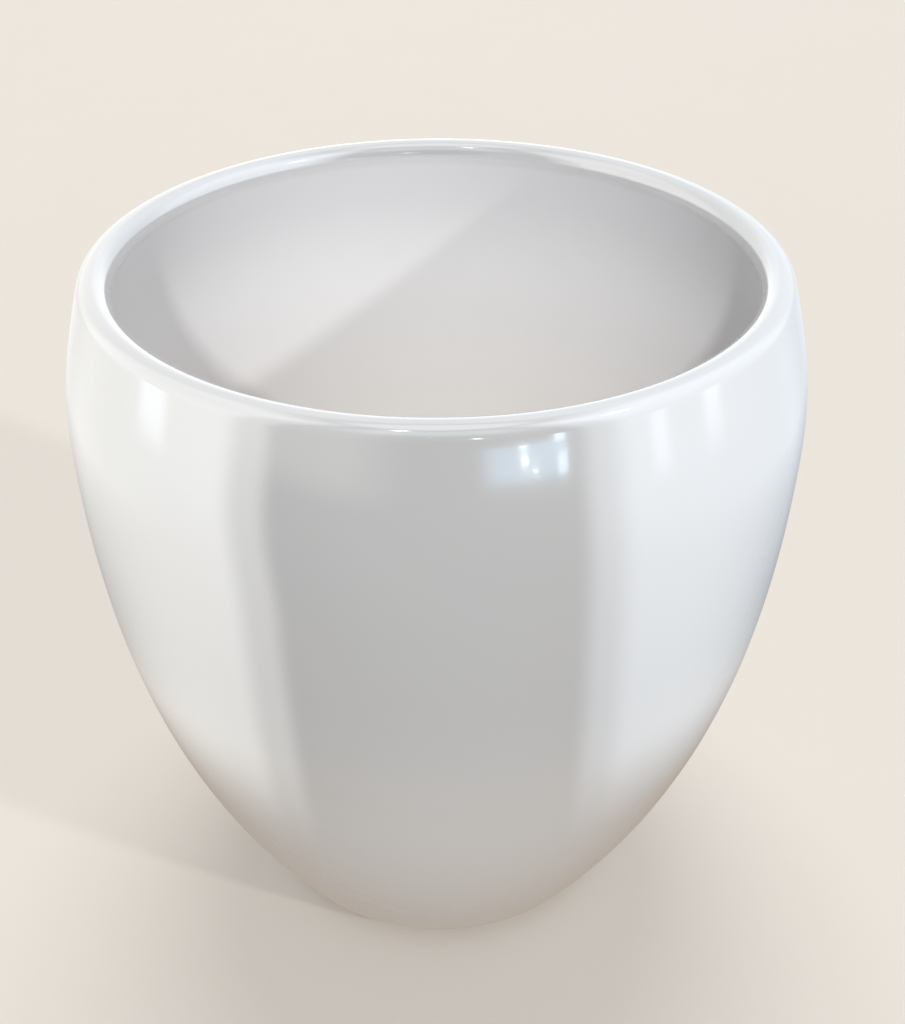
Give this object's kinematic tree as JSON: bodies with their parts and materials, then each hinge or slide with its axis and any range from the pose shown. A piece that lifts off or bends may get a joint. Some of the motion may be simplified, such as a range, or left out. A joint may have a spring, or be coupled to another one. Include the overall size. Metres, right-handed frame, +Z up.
{
  "type": "flower pot",
  "caption": "Egg-shaped glazed ceramic cover pot with a half-round lip and a recessed foot ring on felt pads, which holds a nursery pot with a house plant.",
  "frame": {"origin": "on the table under the middle of the pot, in the plane of the felt pads' undersides", "axes": "+Z up along the pot's turning axis; +X to the right and +Y away, seen from the picture's side"},
  "size_m": [0.15, 0.15, 0.1562],
  "materials": {
    "glaze": "glossy pearl-white glaze outside and on the lip, satin grey-white glaze inside, bare clay on the foot ring",
    "felt": "pressed grey-brown felt"
  },
  "bodies": {
    "root": {"pot_body": "glaze", "felt_pad_1": "felt", "felt_pad_2": "felt", "felt_pad_3": "felt", "felt_pad_4": "felt"}
  },
  "joints": []
}
